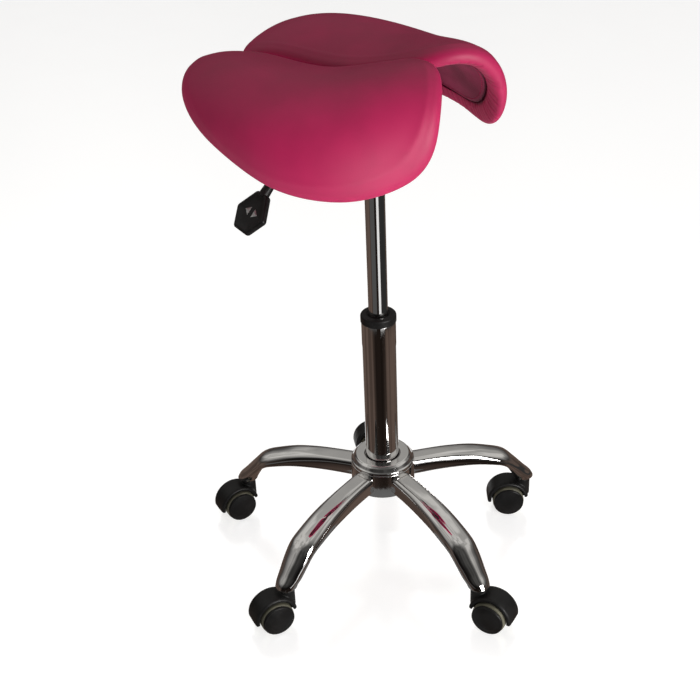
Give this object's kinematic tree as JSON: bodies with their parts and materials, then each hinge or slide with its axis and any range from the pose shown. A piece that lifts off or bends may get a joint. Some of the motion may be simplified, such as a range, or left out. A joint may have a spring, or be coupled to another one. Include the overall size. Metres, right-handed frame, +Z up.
{
  "type": "adjustable swivel stool",
  "caption": "Split saddle stool: two padded seat halves on a tilt mechanism and gas column, over a five-star chromed base with twin-wheel casters.",
  "frame": {"origin": "on the floor, under the middle of the stool's outline; the column stands at x 31 mm, y -3 mm", "axes": "+Z up; the sitter faces -Y, so the sitter's right hand is at -X"},
  "size_m": [0.5102, 0.5422, 0.7909],
  "materials": {
    "chrome": "bright polished chrome plate",
    "bare_steel": "plain zinc-plated steel",
    "black_nylon": "black moulded nylon with a fine grain",
    "black_paint": "black powder coat",
    "wheel_tread": "grey polyurethane tread on a black wheel",
    "buffer_rubber": "black rubber",
    "vinyl": "smooth raspberry-red upholstery vinyl with a soft sheen",
    "lining_cloth": "dull dark raspberry lining",
    "shell_plastic": "moulded seat board"
  },
  "bodies": {
    "base": {"buffer_ring": "buffer_rubber", "caster_1_stem": "bare_steel", "caster_2_stem": "bare_steel", "caster_3_stem": "bare_steel", "caster_4_stem": "bare_steel", "caster_5_stem": "bare_steel", "column_tube": "chrome", "guide_bushing": "black_nylon", "hub_ring": "chrome", "hub_sleeve": "chrome", "leg_1": "chrome", "leg_2": "chrome", "leg_3": "chrome", "leg_4": "chrome", "leg_5": "chrome", "thrust_bearing": "bare_steel"},
    "swivel": {"piston_rod": "bare_steel", "retaining_clip": "bare_steel"},
    "lift": {"gas_cylinder": "chrome", "tilt_housing": "black_paint", "tilt_axle": "bare_steel", "tilt_spring": "bare_steel"},
    "seat": {"seat_lining_left": "lining_cloth", "seat_lining_right": "lining_cloth", "seat_pad_left": "vinyl", "seat_pad_right": "vinyl", "seat_plate": "black_paint", "seat_screw_left_1": "bare_steel", "seat_screw_left_2": "bare_steel", "seat_screw_left_3": "bare_steel", "seat_screw_right_1": "bare_steel", "seat_screw_right_2": "bare_steel", "seat_screw_right_3": "bare_steel", "seat_shell_left": "shell_plastic", "seat_shell_right": "shell_plastic"},
    "height_lever": {"height_lever": "black_paint", "height_paddle": "black_nylon"},
    "tilt_lever": {"tilt_lever": "black_paint", "tilt_paddle": "black_nylon"},
    "release_button": {"release_button": "bare_steel"},
    "caster_1": {"caster_1_hood": "black_nylon", "caster_1_axle": "bare_steel"},
    "caster_1_left_wheel": {"caster_1_wheel_left": "wheel_tread"},
    "caster_1_right_wheel": {"caster_1_wheel_right": "wheel_tread"},
    "caster_2": {"caster_2_hood": "black_nylon", "caster_2_axle": "bare_steel"},
    "caster_2_left_wheel": {"caster_2_wheel_left": "wheel_tread"},
    "caster_2_right_wheel": {"caster_2_wheel_right": "wheel_tread"},
    "caster_3": {"caster_3_hood": "black_nylon", "caster_3_axle": "bare_steel"},
    "caster_3_left_wheel": {"caster_3_wheel_left": "wheel_tread"},
    "caster_3_right_wheel": {"caster_3_wheel_right": "wheel_tread"},
    "caster_4": {"caster_4_hood": "black_nylon", "caster_4_axle": "bare_steel"},
    "caster_4_left_wheel": {"caster_4_wheel_left": "wheel_tread"},
    "caster_4_right_wheel": {"caster_4_wheel_right": "wheel_tread"},
    "caster_5": {"caster_5_hood": "black_nylon", "caster_5_axle": "bare_steel"},
    "caster_5_left_wheel": {"caster_5_wheel_left": "wheel_tread"},
    "caster_5_right_wheel": {"caster_5_wheel_right": "wheel_tread"}
  },
  "joints": [
    {"name": "seat_swivel", "type": "hinge", "parent": "base", "child": "swivel", "pos_m": [0.031, -0.003, 0.107], "axis": [0, 0, 1], "continuous": true},
    {"name": "height_slide", "type": "slide", "parent": "swivel", "child": "lift", "axis": [0, 0, 1], "range_m": [-0.2, 0]},
    {"name": "seat_tilt", "type": "hinge", "parent": "lift", "child": "seat", "pos_m": [0.031, -0.003, 0.71], "axis": [1, 0, 0], "range_deg": [-5, 12]},
    {"name": "height_lever_pull", "type": "hinge", "parent": "lift", "child": "height_lever", "pos_m": [-0.00569, 0.01529, 0.692], "axis": [0.4462, 0.8949, 0], "range_deg": [0, 5], "stiffness_Nm_per_rad": 1, "springref_deg": -5.73},
    {"name": "tilt_lever_pull", "type": "hinge", "parent": "lift", "child": "tilt_lever", "pos_m": [0.06769, 0.01529, 0.692], "axis": [0.4462, -0.8949, 0], "range_deg": [0, 8], "stiffness_Nm_per_rad": 1, "springref_deg": -5.73},
    {"name": "button_press", "type": "slide", "parent": "lift", "child": "release_button", "axis": [0, 0, -1], "range_m": [0, 0.0036], "stiffness_N_per_m": 400},
    {"name": "caster_1_swivel", "type": "hinge", "parent": "base", "child": "caster_1", "pos_m": [0.20439, -0.16133, 0.062], "axis": [0, 0, 1], "continuous": true},
    {"name": "caster_1_left_roll", "type": "hinge", "parent": "caster_1", "child": "caster_1_left_wheel", "pos_m": [0.19185, -0.14086, 0.025], "axis": [-0.8526, -0.5225, 0], "continuous": true},
    {"name": "caster_1_right_roll", "type": "hinge", "parent": "caster_1", "child": "caster_1_right_wheel", "pos_m": [0.19185, -0.14086, 0.025], "axis": [-0.8526, -0.5225, 0], "continuous": true},
    {"name": "caster_2_swivel", "type": "hinge", "parent": "base", "child": "caster_2", "pos_m": [0.23516, 0.11298, 0.062], "axis": [0, 0, 1], "continuous": true},
    {"name": "caster_2_left_roll", "type": "hinge", "parent": "caster_2", "child": "caster_2_left_wheel", "pos_m": [0.21926, 0.13095, 0.025], "axis": [-0.749, -0.6626, 0], "continuous": true},
    {"name": "caster_2_right_roll", "type": "hinge", "parent": "caster_2", "child": "caster_2_right_wheel", "pos_m": [0.21926, 0.13095, 0.025], "axis": [-0.749, -0.6626, 0], "continuous": true},
    {"name": "caster_3_swivel", "type": "hinge", "parent": "base", "child": "caster_3", "pos_m": [-0.01621, 0.227, 0.062], "axis": [0, 0, 1], "continuous": true},
    {"name": "caster_3_left_roll", "type": "hinge", "parent": "caster_3", "child": "caster_3_left_wheel", "pos_m": [-0.0373, 0.23846, 0.025], "axis": [-0.4772, -0.8788, 0], "continuous": true},
    {"name": "caster_3_right_roll", "type": "hinge", "parent": "caster_3", "child": "caster_3_right_wheel", "pos_m": [-0.0373, 0.23846, 0.025], "axis": [-0.4772, -0.8788, 0], "continuous": true},
    {"name": "caster_4_swivel", "type": "hinge", "parent": "base", "child": "caster_4", "pos_m": [-0.20234, 0.02317, 0.062], "axis": [0, 0, 1], "continuous": true},
    {"name": "caster_4_left_roll", "type": "hinge", "parent": "caster_4", "child": "caster_4_left_wheel", "pos_m": [-0.2228, 0.03571, 0.025], "axis": [-0.5225, -0.8526, 0], "continuous": true},
    {"name": "caster_4_right_roll", "type": "hinge", "parent": "caster_4", "child": "caster_4_right_wheel", "pos_m": [-0.2228, 0.03571, 0.025], "axis": [-0.5225, -0.8526, 0], "continuous": true},
    {"name": "caster_5_swivel", "type": "hinge", "parent": "base", "child": "caster_5", "pos_m": [-0.066, -0.21683, 0.062], "axis": [0, 0, 1], "continuous": true},
    {"name": "caster_5_left_roll", "type": "hinge", "parent": "caster_5", "child": "caster_5_left_wheel", "pos_m": [-0.06537, -0.24082, 0.025], "axis": [0.9997, 0.0262, 0], "continuous": true},
    {"name": "caster_5_right_roll", "type": "hinge", "parent": "caster_5", "child": "caster_5_right_wheel", "pos_m": [-0.06537, -0.24082, 0.025], "axis": [0.9997, 0.0262, 0], "continuous": true}
  ],
  "couplings": [
    {"joint": "button_press", "follows": "height_lever_pull", "m_per_rad": 0.041}
  ]
}
